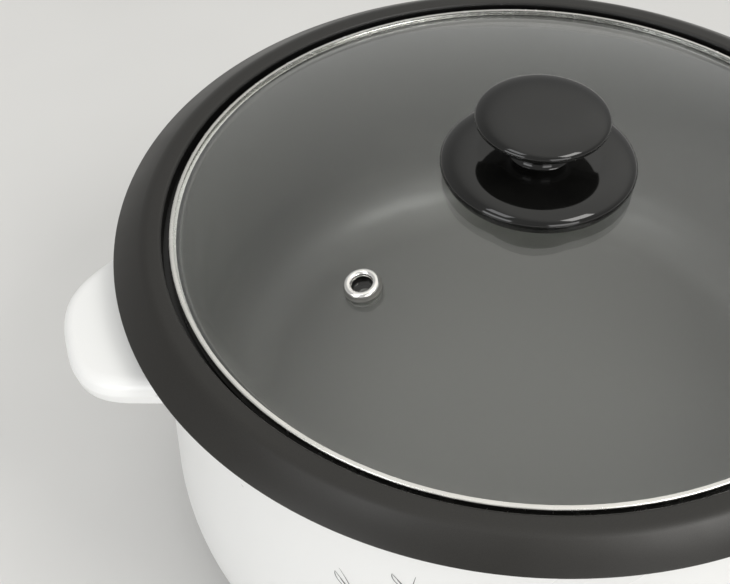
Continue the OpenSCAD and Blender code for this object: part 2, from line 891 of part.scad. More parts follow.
module control_panel() {
    color([0.62, 0.62, 0.61])
    difference() {
        union() {
            intersection() {
                translate([0, -body_r + 12, 0])
                    rotate([90, 0, 0])
                        linear_extrude(30)
                            panel_outline(0);
                shell_core(panel_t);
            }
            translate([0, -body_r + 6, dial_z])
                rotate([90, 0, 0])
                    cylinder(r = dial_seat_r, h = seat_face_y - body_r + 6);
        }
        shell_core(fit);
        translate([0, -body_r + 12, dial_z])
            rotate([90, 0, 0])
                cylinder(r = spindle_r + 1, h = 30, $fn = 48);
        translate([0, -body_r + 12, lens_z])
            rotate([90, 0, 0])
                cylinder(r = lens_r + fit, h = 30, $fn = 48);
    }
}

module control_dial() {
    skirt_t = 2.6;
    grip_w = 9;
    grip_l = 2 * dial_r - 5;
    color([0.2, 0.2, 0.2])
    difference() {
        union() {
            translate([0, -dial_back_y, dial_z])
                rotate([90, 0, 0])
                    rotate_extrude()
                        polygon([
                            [0, 0],
                            [dial_r, 0],
                            [dial_r, skirt_t - 0.8],
                            [dial_r - 0.8, skirt_t],
                            [dial_r - 3, skirt_t + 0.5],
                            [dial_r - 6, dial_depth * 0.55],
                            [0, dial_depth * 0.55]
                        ]);
            translate([0, -dial_back_y - 1, dial_z])
                rotate([90, 0, 0])
                    linear_extrude(dial_depth - 1)
                        rotate([0, 0, 90])
                            translate([-grip_l / 2 + grip_w / 2, 0])
                                radial_slot(0, grip_l - grip_w, grip_w);
        }
        spindle_form(spindle_r + fit, dial_back_y - 2, dial_face_y - 3 + fit);
        // pointer groove along the top of the grip
        translate([-0.8, -dial_face_y - 1, dial_z + 3])
            cube([1.6, 1.6, dial_r]);
    }
}

module indicator_lens() {
    face_y = body_r + panel_t;
    color([0.8, 0.12, 0.08])
    translate([0, -body_r + shell_wall, lens_z])
        rotate([90, 0, 0])
            rotate_extrude()
                polygon(concat(
                    [[0, 0], [lens_r, 0]],
                    [[lens_r, face_y - body_r + shell_wall + 0.6]],
                    arc([0, face_y - body_r + shell_wall + 0.6], lens_r, 20, 90, 6)
                ));
}

lamp_d = 4;

module indicator_lamp() {
    color([0.95, 0.75, 0.6])
    translate([0, -body_r + shell_wall + 0.3 + lamp_d / 2, lens_z - 7]) {
        cylinder(d = lamp_d, h = 12, $fn = 48);
        for (x = [-0.8, 0.8])
            translate([x, 0, -8])
                cylinder(r = 0.3, h = 8 + eps, $fn = 24);
    }
}

// ---- Power inlet ----

inlet_body_w = socket_w + 3;
inlet_body_h = socket_h + 3;
inlet_screw_x = inlet_body_w / 2 + 6.5;
inlet_back = 6;
inlet_face_y = pad_y + flange_plate_t;
blade_w = 2;
blade_h = 4;
blade_drop = 2;
// x and height of the three blades about the socket's middle
blades = [[-blade_pitch, -blade_drop], [0, blade_drop], [blade_pitch, -blade_drop]];

module blade_bars(grow, y0, y1) {
    for (b = blades)
        translate([b[0] - blade_w / 2 - grow, y0, inlet_z + b[1] - blade_h / 2 - grow])
            cube([blade_w + 2 * grow, y1 - y0, blade_h + 2 * grow]);
}

module inlet_housing() {
    recess_y = inlet_face_y - socket_depth;
    body_y = recess_y - inlet_back;
    plate_w = 2 * inlet_screw_x + 10;
    color(black)
    difference() {
        union() {
            translate([-inlet_body_w / 2, body_y, inlet_z - inlet_body_h / 2])
                cube([inlet_body_w, inlet_face_y - body_y, inlet_body_h]);
            translate([0, pad_y + flange_plate_t, inlet_z])
                rotate([90, 0, 0])
                    linear_extrude(flange_plate_t) {
                        translate([-plate_w / 2 + 5, -inlet_body_h / 2 - 1.5])
                            square([plate_w - 10, inlet_body_h + 3]);
                        for (x = [-inlet_screw_x, inlet_screw_x])
                            translate([x, 0])
                                circle(r = 5, $fn = 48);
                    }
        }
        translate([-socket_w / 2, recess_y, inlet_z - socket_h / 2])
            cube([socket_w, socket_depth + 1, socket_h]);
        blade_bars(fit, body_y - 1, recess_y + 1);
        for (x = [-inlet_screw_x, inlet_screw_x])
            translate([x, pad_y - 1, inlet_z])
                rotate([-90, 0, 0])
                    cylinder(r = 1.7, h = 5, $fn = 24);
    }
}

blade_tail_y = inlet_face_y - socket_depth - inlet_back - 6;

module inlet_pins() {
    color(steel)
        blade_bars(0, blade_tail_y, inlet_face_y - 3);
}

module inlet_screws() {
    color(steel)
    for (x = [-inlet_screw_x, inlet_screw_x])
        translate([x, inlet_face_y, inlet_z])
            rotate([90, 0, 0]) {
                translate([0, 0, -1.6])
                    cylinder(r = 3, h = 1.6, $fn = 48);
                translate([0, 0, -eps])
                    cylinder(r = pilot_r, h = 7, $fn = 24);
            }
}

// ---- Wiring ----

wire_d = 3;
wire_z = floor_top_z + 5;
blade_z = inlet_z - blade_drop;
tab_y = stat_y + stat_d + tab_len;
term_x = ring_r * sin(cold_end);
term_y = ring_r * cos(cold_end);
loom_r = shield_r + 12;

// A point of a wire's route on the floor, r from the axis at a bearing
function spot(r, bearing) = [r * cos(bearing), r * sin(bearing), wire_z];

module live_wire() {
    color([0.45, 0.28, 0.15])
    wire([
        [blade_pitch, blade_tail_y - 0.1, blade_z],
        [blade_pitch, blade_tail_y - 3, blade_z],
        [blade_pitch + 4, blade_tail_y - 10, blade_z],
        spot(loom_r - 0.8, 76),
        spot(loom_r - 3.3, 46.5),
        spot(loom_r + 1.8, 10.5),
        spot(loom_r + 2, -19),
        spot(loom_r - 0.2, -49.5),
        spot(loom_r - 6.6, -75),
        [12, tab_y + 5, tab_z - 3],
        [9, tab_y + 2, tab_z],
        [9, tab_y + 0.1, tab_z]
    ], wire_d);
}

module load_wire() {
    color([0.75, 0.1, 0.1])
    wire([
        [-9, tab_y + 0.1, tab_z],
        [-9, tab_y + 2, tab_z],
        [-11, tab_y + 6, tab_z - 4],
        [-20, tab_y + 20, wire_z],
        [-20, 0, wire_z - 3],
        [-40, 50, wire_z - 3],
        [-term_x - 8, term_y, wire_z - 1],
        [-term_x, term_y, pin_z - wire_d / 2]
    ], wire_d);
}

module neutral_wire() {
    lead_z = shield_z - 6 - wire_d / 2;
    color([0.15, 0.3, 0.65]) {
        wire([
            [-blade_pitch, blade_tail_y - 0.1, blade_z],
            [-blade_pitch, blade_tail_y - 3, blade_z],
            [-blade_pitch - 4, blade_tail_y - 10, blade_z],
            spot(loom_r - 2.7, 104.3),
            spot(loom_r - 25.3, 122) + [0, 0, 2.5],
            [-34, 40, wire_z + 2.5],
            [-13, fuse_y, lead_z]
        ], wire_d);
        wire([
            [13, fuse_y, lead_z],
            [24, 44, wire_z],
            [term_x + 8, term_y, wire_z],
            [term_x, term_y, pin_z - wire_d / 2]
        ], wire_d);
    }
}

module earth_wire() {
    color([0.35, 0.6, 0.2])
    wire([
        [0, blade_tail_y - 0.1, inlet_z + blade_drop],
        [0, blade_tail_y - 9, inlet_z + blade_drop],
        [0, shield_r + 9, shield_z + 3],
        [0, shield_r + 5.5, shield_z + 3]
    ], wire_d);
}

// ---- Base ----

foot_neck_r = 3.4;

module base_cover() {
    z0 = shell_z - cover_t;
    color([0.9, 0.9, 0.89])
    difference() {
        translate([0, 0, z0])
            cylinder(r = cover_r, h = cover_t - fit);
        translate([0, 0, z0 - 1])
            linear_extrude(cover_t + 2) {
                for (i = [0:11])
                    rotate([0, 0, 30 * i])
                        radial_slot(20, 36, 4);
                for (i = [0:19])
                    rotate([0, 0, 18 * i + 9])
                        radial_slot(46, 62, 4);
            }
        around(cover_bearings, cover_screw_r)
            translate([0, 0, z0 - 1])
                cylinder(r = pilot_r + 0.3, h = cover_t + 2, $fn = 24);
    }
}

module base_screws() {
    z0 = shell_z - cover_t;
    color(steel)
    around(cover_bearings, cover_screw_r) {
        translate([0, 0, z0 - 1.8])
            cylinder(r = 3.2, h = 1.8 - fit, $fn = 48);
        translate([0, 0, z0 - 1])
            cylinder(r = pilot_r - 0.02, h = 10, $fn = 24);
    }
}

module feet() {
    sole_r = foot_r - 1.5;
    color([0.15, 0.15, 0.15])
    around(foot_bearings, foot_pos_r)
        rotate_extrude($fn = 64)
            polygon([
                [0, 0.8],
                [sole_r - 5.2, 0.8],
                [sole_r - 4.4, 0],
                [sole_r - 0.6, 0],
                [sole_r, 0.6],
                [foot_r, shell_z - fit],
                [foot_neck_r, shell_z - fit],
                [foot_neck_r, floor_top_z + fit],
                [foot_neck_r + 1, floor_top_z + fit],
                [foot_neck_r - 0.8, floor_top_z + 2.5],
                [0, floor_top_z + 2.5]
            ]);
}

// ---- Lid ----

glass_r = lid_r - band_t - 0.2;
glass_R = (glass_r * glass_r + glass_rise * glass_rise) / (2 * glass_rise);
glass_edge_z = lid_z - band_t - 0.1 - band_lip * tan(asin(glass_r / glass_R));
glass_c = glass_edge_z + glass_rise - glass_R;
glass_a = asin(glass_r / glass_R);
glass_cut_z = band_z + band_t + 0.1;
glass_in_R = glass_R - glass_t;
glass_in_a = acos((glass_cut_z - glass_c) / glass_in_R);
glass_top_z = glass_c + glass_R;
glass_bottom_z = glass_c + glass_in_R;
vent_tilt = asin(vent_pos_r / glass_R);
knob_hole_r = 3.2;
grommet_t = 0.7;

// Children stand on the glass at the vent, along its normal
module at_vent() {
    translate([0, 0, glass_c])
        rotate([0, 0, vent_bearing])
            rotate([0, vent_tilt, 0])
                translate([0, 0, glass_R])
                    children();
}

module lid_glass() {
    color([0.75, 0.8, 0.78, 0.35])
    difference() {
        rotate_extrude()
            polygon(concat(
                arc([0, glass_c], glass_R, 90, 90 - glass_a, 16),
                [[glass_r, glass_cut_z]],
                arc([0, glass_c], glass_in_R, 90 - glass_in_a, 90, 16)
            ));
        at_vent()
            translate([0, 0, -10])
                cylinder(r = vent_r + band_t + grommet_t + fit, h = 20, $fn = 48);
        translate([0, 0, glass_bottom_z - 5])
            cylinder(r = knob_hole_r, h = 15, $fn = 48);
    }
}

module lid_band() {
    out = lid_r;
    bend = 0.9;
    lip_in = lid_r - band_lip;
    color(steel)
    rotate_extrude()
        polygon(concat(
            [[lip_in, lid_z], [lip_in, lid_z - band_t]],
            [[out - band_t, lid_z - band_t], [out - band_t, band_z + band_t]],
            [[out - 3.5, band_z + band_t], [out - 3.5, band_z]],
            arc([out - bend, band_z + bend], bend, -90, 0, 3),
            arc([out - bend, lid_z - bend], bend, 0, 90, 4)
        ));
}

vent_tube_r = vent_r + band_t;
vent_flange_r = vent_r + vent_lip;

module vent_eyelet() {
    top = grommet_t + fit;
    curl = 1.1;
    color(steel)
    at_vent()
        rotate_extrude($fn = 64)
            polygon(concat(
                [[vent_r, -glass_t - 1.6]],
                arc([vent_r + curl, top + curl], curl, 180, 90, 4),
                arc([vent_flange_r - 0.7, top + 1.3], 0.7, 80, -30, 4),
                [[vent_flange_r - 0.4, top], [vent_tube_r, top]],
                [[vent_tube_r, -glass_t - 0.8], [vent_flange_r - 0.6, -glass_t - 0.8]],
                [[vent_flange_r - 0.6, -glass_t - 1.6]]
            ));
}

module vent_grommet() {
    color([0.85, 0.85, 0.83, 0.6])
    at_vent()
        rotate_extrude($fn = 64)
            polygon([
                [vent_tube_r + fit, -glass_t - 0.75],
                [vent_tube_r + fit, grommet_t],
                [vent_flange_r + 0.7, grommet_t],
                [vent_flange_r + 0.7, 0.12],
                [vent_tube_r + grommet_t, 0.12],
                [vent_tube_r + grommet_t, -glass_t - 0.12],
                [vent_flange_r, -glass_t - 0.12],
                [vent_flange_r, -glass_t - 0.75]
            ]);
}

seal_top_z = glass_top_z + 0.8;
disc_z = seal_top_z + 1.4;
knob_foot_r = knob_base_r * 0.7;
base_round = 1.4;
// dome of the lower disc, standing on its rounded edge
dome_r = knob_base_r - base_round;
dome_R = (dome_r * dome_r + knob_base_rise * knob_base_rise) / (2 * knob_base_rise);
dome_c = disc_z + base_round + knob_base_rise - dome_R;
cap_edge_z = disc_z + knob_lift;
// top of the dome where the stem stands on it
cap_root_z = dome_c + sqrt(dome_R * dome_R - knob_stem_r * knob_stem_r);

module knob_base() {
    color(black)
    difference() {
        rotate_extrude()
            polygon(concat(
                [[0, seal_top_z], [knob_foot_r - 1, seal_top_z], [knob_foot_r, seal_top_z + 0.5]],
                arc([dome_r, disc_z], base_round, -80, 80, 6),
                arc([0, dome_c], dome_R, 90 - asin((dome_r - 0.6) / dome_R),
                    90 - asin(knob_stem_r / dome_R), 8),
                [[0, cap_root_z]]
            ));
        translate([0, 0, seal_top_z - 1])
            cylinder(r = knob_hole_r, h = 12, $fn = 48);
    }
}

module knob_cap() {
    rim = 2.4;
    neck = 5;
    neck_z = cap_edge_z - rim - neck - 3;
    crown_r = knob_cap_r - 2.2;
    crown_rise = knob_crown - rim * sin(62);
    crown_R = (crown_r * crown_r + crown_rise * crown_rise) / (2 * crown_rise);
    color(black)
    difference() {
        rotate_extrude()
            polygon(concat(
                [[0, cap_root_z], [knob_stem_r + 1.2, cap_root_z], [knob_stem_r + 0.3, cap_root_z + 0.8]],
                [[knob_stem_r, cap_root_z + 2]],
                arc([knob_stem_r + neck, neck_z], neck, 180, 115, 5),
                arc([knob_cap_r - rim, cap_edge_z], rim, -70, 62, 8),
                arc([0, cap_edge_z + knob_crown - crown_R], crown_R,
                    90 - asin((crown_r - 1) / crown_R), 90, 6)
            ));
        translate([0, 0, cap_root_z - 1])
            cylinder(r = insert_r + fit, h = insert_h + 1 + fit, $fn = 48);
    }
}

insert_r = 4.5;
insert_h = 13;
knob_screw_r = 2;

module knob_insert() {
    color([0.8, 0.65, 0.3])
    difference() {
        translate([0, 0, cap_root_z + fit])
            cylinder(r = insert_r, h = insert_h - fit, $fn = 48);
        translate([0, 0, cap_root_z - 1])
            cylinder(r = knob_screw_r + fit, h = insert_h - 1, $fn = 48);
    }
}

washer_z = glass_bottom_z - knob_washer_t - 0.4;
sink_r = 6;
sink_h = 3.6;

module knob_washer() {
    ease = 1.2;
    color(black)
    difference() {
        // its top follows the underside of the glass
        rotate_extrude()
            polygon(concat(
                [[0, washer_z], [knob_washer_r - ease - 0.8, washer_z]],
                arc([knob_washer_r - ease, washer_z + ease], ease, -70, 0, 4),
                arc([0, glass_c], glass_in_R - 0.1, 90 - asin(knob_washer_r / glass_in_R), 90, 6)
            ));
        translate([0, 0, washer_z - 1])
            cylinder(r = sink_r, h = sink_h + 1, $fn = 48);
        translate([0, 0, washer_z - 1])
            cylinder(r = knob_screw_r + 0.3, h = knob_washer_t + 4, $fn = 48);
    }
}

module knob_screw() {
    head_h = 2.6;
    head_z = washer_z + sink_h - fit - head_h;
    color(steel)
    difference() {
        union() {
            translate([0, 0, head_z])
                cylinder(r = 4.4, h = head_h, $fn = 48);
            translate([0, 0, head_z + head_h - eps])
                cylinder(r = knob_screw_r, h = cap_root_z + insert_h - 6 - head_z - head_h, $fn = 48);
        }
        for (a = [0, 90])
            rotate([0, 0, a])
                translate([-2.6, -0.5, head_z - 1])
                    cube([5.2, 1, 2.4]);
    }
}

module knob_seal() {
    color([0.3, 0.3, 0.3])
    difference() {
        rotate_extrude()
            polygon(concat(
                [[knob_hole_r, seal_top_z - fit]],
                arc([0, glass_c], glass_R + 0.1, 90 - asin(knob_hole_r / glass_R),
                    90 - asin((knob_foot_r - 2) / glass_R), 3),
                [[knob_foot_r - 2, seal_top_z - fit]]
            ));
        translate([0, 0, glass_top_z - 5])
            cylinder(r = knob_hole_r + eps, h = 10, $fn = 48);
    }
}

outer_shell();
left_handle();
right_handle();
handle_screws();
pan();
pan_floor();
rim_seal();
tie_screws();
heating_element();
element_terminals();
element_bracket();
bracket_nut();
heat_shield();
thermostat();
thermostat_bracket();
thermostat_spindle();
sensor_bulb();
sensor_clip();
thermal_fuse();
fuse_clip();
control_panel();
control_dial();
indicator_lens();
indicator_lamp();
inlet_housing();
inlet_pins();
inlet_screws();
live_wire();
load_wire();
neutral_wire();
earth_wire();
base_cover();
base_screws();
feet();
lid_glass();
lid_band();
vent_eyelet();
vent_grommet();
knob_base();
knob_cap();
knob_insert();
knob_screw();
knob_washer();
knob_seal();
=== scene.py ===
"""Looks of the electric hot pot: finishes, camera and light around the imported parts."""
import json
import math

import bmesh
import bpy
from mathutils import Matrix, Vector


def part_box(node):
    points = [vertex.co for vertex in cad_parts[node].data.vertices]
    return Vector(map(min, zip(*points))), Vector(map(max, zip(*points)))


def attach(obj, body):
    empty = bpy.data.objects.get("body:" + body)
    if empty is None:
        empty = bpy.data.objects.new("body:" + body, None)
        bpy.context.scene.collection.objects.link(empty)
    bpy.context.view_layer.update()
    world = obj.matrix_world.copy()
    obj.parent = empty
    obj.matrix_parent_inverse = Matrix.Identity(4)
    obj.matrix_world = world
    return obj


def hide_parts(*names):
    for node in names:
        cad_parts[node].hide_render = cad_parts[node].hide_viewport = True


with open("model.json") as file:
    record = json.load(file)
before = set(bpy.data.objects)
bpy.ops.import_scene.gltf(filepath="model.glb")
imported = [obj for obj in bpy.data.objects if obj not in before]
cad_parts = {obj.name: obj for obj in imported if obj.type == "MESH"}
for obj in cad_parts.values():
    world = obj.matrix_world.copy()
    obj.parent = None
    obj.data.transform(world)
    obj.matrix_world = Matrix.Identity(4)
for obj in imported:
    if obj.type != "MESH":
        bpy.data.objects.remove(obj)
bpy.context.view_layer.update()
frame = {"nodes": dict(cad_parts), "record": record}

MM = 0.001

# ---------------------------------------------------------------- camera

# Where the photograph was taken from, in the pot's frame, and how the camera was turned.
CAMERA_PLACE = Vector((-0.1708, -0.4054, 0.5448))
CAMERA_TILT = math.radians(44.91)
CAMERA_TURN = math.radians(-14.4)
CAMERA_LENS = 74.94
SENSOR_WIDTH = 36


def make_camera():
    data = bpy.data.cameras.new("camera")
    data.lens = CAMERA_LENS
    data.sensor_width = SENSOR_WIDTH
    camera = bpy.data.objects.new("camera", data)
    camera.location = CAMERA_PLACE
    camera.rotation_euler = (math.pi / 2 - CAMERA_TILT, 0, CAMERA_TURN)
    bpy.context.scene.collection.objects.link(camera)
    bpy.context.scene.camera = camera


# ---------------------------------------------------------------- materials

# Sockets of a Mix node that mixes colours.
MIX_FACTOR, MIX_FIRST, MIX_SECOND, MIX_RESULT = 0, 6, 7, 2


class Finish:
    """A procedural material under construction: a Principled shader and the nodes that feed it."""

    def __init__(self, name):
        self.material = bpy.data.materials.new(name)
        self.material.use_nodes = True
        self.tree = self.material.node_tree
        self.shader = self.tree.nodes["Principled BSDF"]
        self.output = self.tree.nodes["Material Output"]
        self.place = self.add("ShaderNodeTexCoord").outputs["Object"]

    def add(self, kind, **settings):
        node = self.tree.nodes.new(kind)
        for key, value in settings.items():
            setattr(node, key, value)
        return node

    def link(self, source, target):
        self.tree.links.new(source, target)

    def set(self, **values):
        """Sets the shader's sockets; underscores stand for spaces."""
        for key, value in values.items():
            self.shader.inputs[key.replace("_", " ")].default_value = value
        return self

    def noise(self, size, detail=2):
        """Noise with features of about that size in metres."""
        noise = self.add("ShaderNodeTexNoise")
        noise.inputs["Scale"].default_value = 1 / size
        noise.inputs["Detail"].default_value = detail
        self.link(self.place, noise.inputs["Vector"])
        return noise.outputs["Fac"]

    def spread(self, value, low, high, start=0.3, end=0.7):
        """Maps a value from start..end to low..high."""
        node = self.add("ShaderNodeMapRange")
        node.inputs["From Min"].default_value = start
        node.inputs["From Max"].default_value = end
        node.inputs["To Min"].default_value = low
        node.inputs["To Max"].default_value = high
        self.link(value, node.inputs["Value"])
        return node.outputs["Result"]

    def mix(self, value, first, second):
        """A colour from first to second as value goes from 0 to 1; each is a tuple or an output."""
        node = self.add("ShaderNodeMix", data_type="RGBA")
        self.link(value, node.inputs[MIX_FACTOR])
        for socket, colour in ((MIX_FIRST, first), (MIX_SECOND, second)):
            if isinstance(colour, tuple):
                node.inputs[socket].default_value = (*colour, 1)
            else:
                self.link(colour, node.inputs[socket])
        return node.outputs[MIX_RESULT]

    def bump(self, height, depth, strength=1.0):
        """Raises the surface by depth metres where height is 1."""
        node = self.add("ShaderNodeBump")
        node.inputs["Distance"].default_value = depth
        node.inputs["Strength"].default_value = strength
        self.link(height, node.inputs["Height"])
        self.link(node.outputs["Normal"], self.shader.inputs["Normal"])

    def colour(self, value):
        self.link(value, self.shader.inputs["Base Color"])

    def roughness(self, value):
        self.link(value, self.shader.inputs["Roughness"])


def shade(colour, factor):
    return tuple(min(1, c * factor) for c in colour)


def moulded(name, colour, roughness, grain, depth):
    """Moulded plastic or rubber: slight cloudiness in colour and gloss, and a fine skin texture."""
    f = Finish(name)
    cloud = f.spread(f.noise(30 * MM, 3), 0, 1)
    f.colour(f.mix(cloud, shade(colour, 0.94), shade(colour, 1.06)))
    f.roughness(f.spread(f.noise(12 * MM, 4), roughness - 0.04, roughness + 0.04))
    f.bump(f.noise(grain), depth)
    return f


def sheet_metal(name, colour, roughness, depth=0.01 * MM):
    """Metal with a fine grain and faint smears in its gloss."""
    f = Finish(name).set(Metallic=1.0)
    cloud = f.spread(f.noise(20 * MM, 3), 0, 1)
    f.colour(f.mix(cloud, shade(colour, 0.93), shade(colour, 1.05)))
    f.roughness(f.spread(f.noise(4 * MM, 5), roughness * 0.8, roughness * 1.25))
    f.bump(f.noise(0.6 * MM), depth)
    return f


SHELL_WHITE = (0.83, 0.832, 0.825)
FLANGE_COAT = (0.0125, 0.0115, 0.0098)
BOWL_COAT = (0.086, 0.086, 0.079)
# Near-black painted shade in the pan's seat groove, where the lid's band shades it.
GROOVE_PAINTED_SHADE = (0.002, 0.002, 0.002)
PRINT_GREY = (0.16, 0.16, 0.165)
MARK_WHITE = (0.72, 0.72, 0.7)
# Near-black painted shade inside the vent's bore.
BORE_PAINTED_SHADE = (0.008, 0.0077, 0.007)
# Dark grey painted shade on the steel of the vent's sleeve under the glass.
SLEEVE_PAINTED_SHADE = (0.16, 0.155, 0.145)
VENT_STEEL = (0.86, 0.85, 0.83)

# Distances from the axis at which the bowl's coat turns into the near-black painted shade of the
# groove under the lid's band, and that shade into the flange's coat.
GROOVE_SHADE_BEGINS = (134.5 * MM, 135.5 * MM)
FLANGE_BEGINS = (142.4 * MM, 143.2 * MM)


def shell_plastic():
    """Glossy white plastic, with a trace of moulding texture in its gloss."""
    f = Finish("shell_plastic")
    cloud = f.spread(f.noise(80 * MM), 0, 1, 0.1, 0.9)
    f.colour(f.mix(cloud, shade(SHELL_WHITE, 0.992), shade(SHELL_WHITE, 1.008)))
    f.roughness(f.spread(f.noise(60 * MM), 0.25, 0.33, 0.1, 0.9))
    f.bump(f.noise(1.6 * MM), 0.0012 * MM)
    return f.material


def nonstick_coat():
    """Satin non-stick coat with fine flecks: grey bowl, dark flange, and near-black painted shade
    in the groove under the lid's band.
    """
    f = Finish("nonstick_coat").set(Specular_IOR_Level=0.45)
    fleck = f.spread(f.noise(0.35 * MM), 0, 1, 0.35, 0.75)
    bowl = f.mix(fleck, shade(BOWL_COAT, 0.88), shade(BOWL_COAT, 1.16))
    flange = f.mix(fleck, shade(FLANGE_COAT, 0.8), shade(FLANGE_COAT, 1.35))
    flat = f.add("ShaderNodeVectorMath", operation="MULTIPLY")
    flat.inputs[1].default_value = (1, 1, 0)
    f.link(f.place, flat.inputs[0])
    radius = f.add("ShaderNodeVectorMath", operation="LENGTH")
    f.link(flat.outputs["Vector"], radius.inputs[0])
    # Painted shade: the groove where the lid's band sits is coloured near-black between the bowl
    # and the flange.
    colour = f.mix(f.spread(radius.outputs["Value"], 0, 1, *GROOVE_SHADE_BEGINS), bowl, GROOVE_PAINTED_SHADE)
    colour = f.mix(f.spread(radius.outputs["Value"], 0, 1, *FLANGE_BEGINS), colour, flange)
    f.colour(colour)
    f.roughness(f.spread(f.noise(20 * MM, 3), 0.36, 0.42))
    f.bump(f.noise(0.5 * MM), 0.006 * MM)
    return f.material


def clear_glass():
    """Clear glass that lets the lamps' light through."""
    f = Finish("clear_glass")
    f.set(Base_Color=(0.97, 0.985, 0.98, 1), Roughness=0.0, IOR=1.5, Transmission_Weight=1.0)
    path = f.add("ShaderNodeLightPath")
    clear = f.add("ShaderNodeBsdfTransparent")
    clear.inputs["Color"].default_value = (0.95, 0.96, 0.955, 1)
    mix = f.add("ShaderNodeMixShader")
    f.link(path.outputs["Is Shadow Ray"], mix.inputs["Fac"])
    f.link(f.shader.outputs["BSDF"], mix.inputs[1])
    f.link(clear.outputs["BSDF"], mix.inputs[2])
    f.link(mix.outputs["Shader"], f.output.inputs["Surface"])
    return f.material


def phenolic():
    """Polished black phenolic, with a trace of orange peel in its gloss."""
    f = Finish("phenolic")
    cloud = f.spread(f.noise(10 * MM), 0, 1)
    f.colour(f.mix(cloud, (0.0042, 0.0042, 0.004), (0.0056, 0.0056, 0.0052)))
    f.roughness(f.spread(f.noise(15 * MM), 0.05, 0.09))
    f.bump(f.noise(6 * MM, 1), 0.003 * MM, 0.4)
    return f.material


SPECIAL = {
    "shell_plastic": shell_plastic,
    "nonstick_aluminium": nonstick_coat,
    "lid_glass": clear_glass,
    "knob_plastic": phenolic,
}

# Slot: colour, roughness, size of the grain in mm, depth of the grain in mm.
MOULDED = {
    "seal_rubber": ((0.03, 0.03, 0.03), 0.6, 0.8, 0.02),
    "insulator_ceramic": ((0.8, 0.77, 0.68), 0.5, 0.6, 0.02),
    "thermostat_case": ((0.38, 0.33, 0.24), 0.5, 1, 0.02),
    "panel_plastic": ((0.03, 0.029, 0.027), 0.35, 0.8, 0.01),
    "dial_plastic": ((0.022, 0.022, 0.022), 0.3, 0.9, 0.01),
    "lens_red": ((0.45, 0.02, 0.012), 0.12, 3, 0.004),
    "lamp_glass": ((0.8, 0.45, 0.3), 0.1, 3, 0.002),
    "inlet_plastic": ((0.02, 0.02, 0.02), 0.4, 0.8, 0.02),
    "wire_brown": ((0.16, 0.07, 0.03), 0.4, 1, 0.01),
    "wire_red": ((0.45, 0.03, 0.02), 0.4, 1, 0.01),
    "wire_blue": ((0.02, 0.07, 0.35), 0.4, 1, 0.01),
    "wire_green": ((0.12, 0.32, 0.05), 0.4, 1, 0.01),
    "foot_rubber": ((0.025, 0.025, 0.025), 0.65, 0.7, 0.03),
    "grommet_silicone": ((0.1, 0.1, 0.092), 0.35, 1, 0.01),
}

# Slot: colour, roughness.
METALS = {
    "zinc_steel": ((0.55, 0.56, 0.58), 0.3),
    "heater_steel": ((0.22, 0.19, 0.16), 0.4),
    "shield_sheet": ((0.55, 0.56, 0.57), 0.35),
    "copper_tube": ((0.75, 0.38, 0.22), 0.28),
    "fuse_case": ((0.6, 0.6, 0.55), 0.35),
    "pin_brass": ((0.78, 0.68, 0.42), 0.25),
}

# The same for polished steel, whose grain is finer.
POLISHED = {
    "lid_steel": ((0.74, 0.73, 0.7), 0.24),
}
POLISHED_DEPTH = 0.001 * MM


def slot_material(slot):
    """The finish of one of the record's material slots."""
    if slot in SPECIAL:
        return SPECIAL[slot]()
    if slot in MOULDED:
        colour, roughness, grain, depth = MOULDED[slot]
        return moulded(slot, colour, roughness, grain * MM, depth * MM).material
    if slot in POLISHED:
        return sheet_metal(slot, *POLISHED[slot], POLISHED_DEPTH).material
    return sheet_metal(slot, *METALS[slot]).material


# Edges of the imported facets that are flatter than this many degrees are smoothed.
SMOOTH_BELOW = 34
WELD_DISTANCE = 0.002 * MM


def smooth_group():
    """A modifier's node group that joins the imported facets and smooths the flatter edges."""
    group = bpy.data.node_groups.new("smooth_by_angle", "GeometryNodeTree")
    for direction in ("INPUT", "OUTPUT"):
        group.interface.new_socket("Geometry", in_out=direction, socket_type="NodeSocketGeometry")
    start = group.nodes.new("NodeGroupInput")
    end = group.nodes.new("NodeGroupOutput")
    weld = group.nodes.new("GeometryNodeMergeByDistance")
    weld.inputs["Distance"].default_value = WELD_DISTANCE
    plain = group.nodes.new("GeometryNodeRemoveAttribute")
    plain.inputs["Name"].default_value = "custom_normal"
    faces = group.nodes.new("GeometryNodeSetShadeSmooth")
    faces.domain = "FACE"
    edges = group.nodes.new("GeometryNodeSetShadeSmooth")
    edges.domain = "EDGE"
    bend = group.nodes.new("GeometryNodeInputMeshEdgeAngle")
    flat = group.nodes.new("FunctionNodeCompare")
    flat.operation = "LESS_THAN"
    flat.inputs[1].default_value = math.radians(SMOOTH_BELOW)
    link = group.links.new
    link(bend.outputs["Unsigned Angle"], flat.inputs[0])
    link(flat.outputs["Result"], edges.inputs["Shade Smooth"])
    link(start.outputs[0], weld.inputs["Geometry"])
    link(weld.outputs["Geometry"], plain.inputs["Geometry"])
    link(plain.outputs["Geometry"], faces.inputs["Geometry"])
    link(faces.outputs["Geometry"], edges.inputs["Geometry"])
    link(edges.outputs["Geometry"], end.inputs[0])
    return group


def dress_nodes():
    """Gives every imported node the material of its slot, and smooth shading over its curves."""
    made = {}
    group = smooth_group()
    for part in frame["record"]["subparts"]:
        slot = part["material_slot"]
        if slot not in made:
            made[slot] = slot_material(slot)
        node = frame["nodes"][part["node"]]
        node.data.materials.clear()
        node.data.materials.append(made[slot])
        smooth = node.modifiers.new("smooth", "NODES")
        smooth.node_group = group
        weighted = node.modifiers.new("weighted", "WEIGHTED_NORMAL")
        weighted.keep_sharp = True
        weighted.weight = 100
    return made


# ---------------------------------------------------------------- meshes


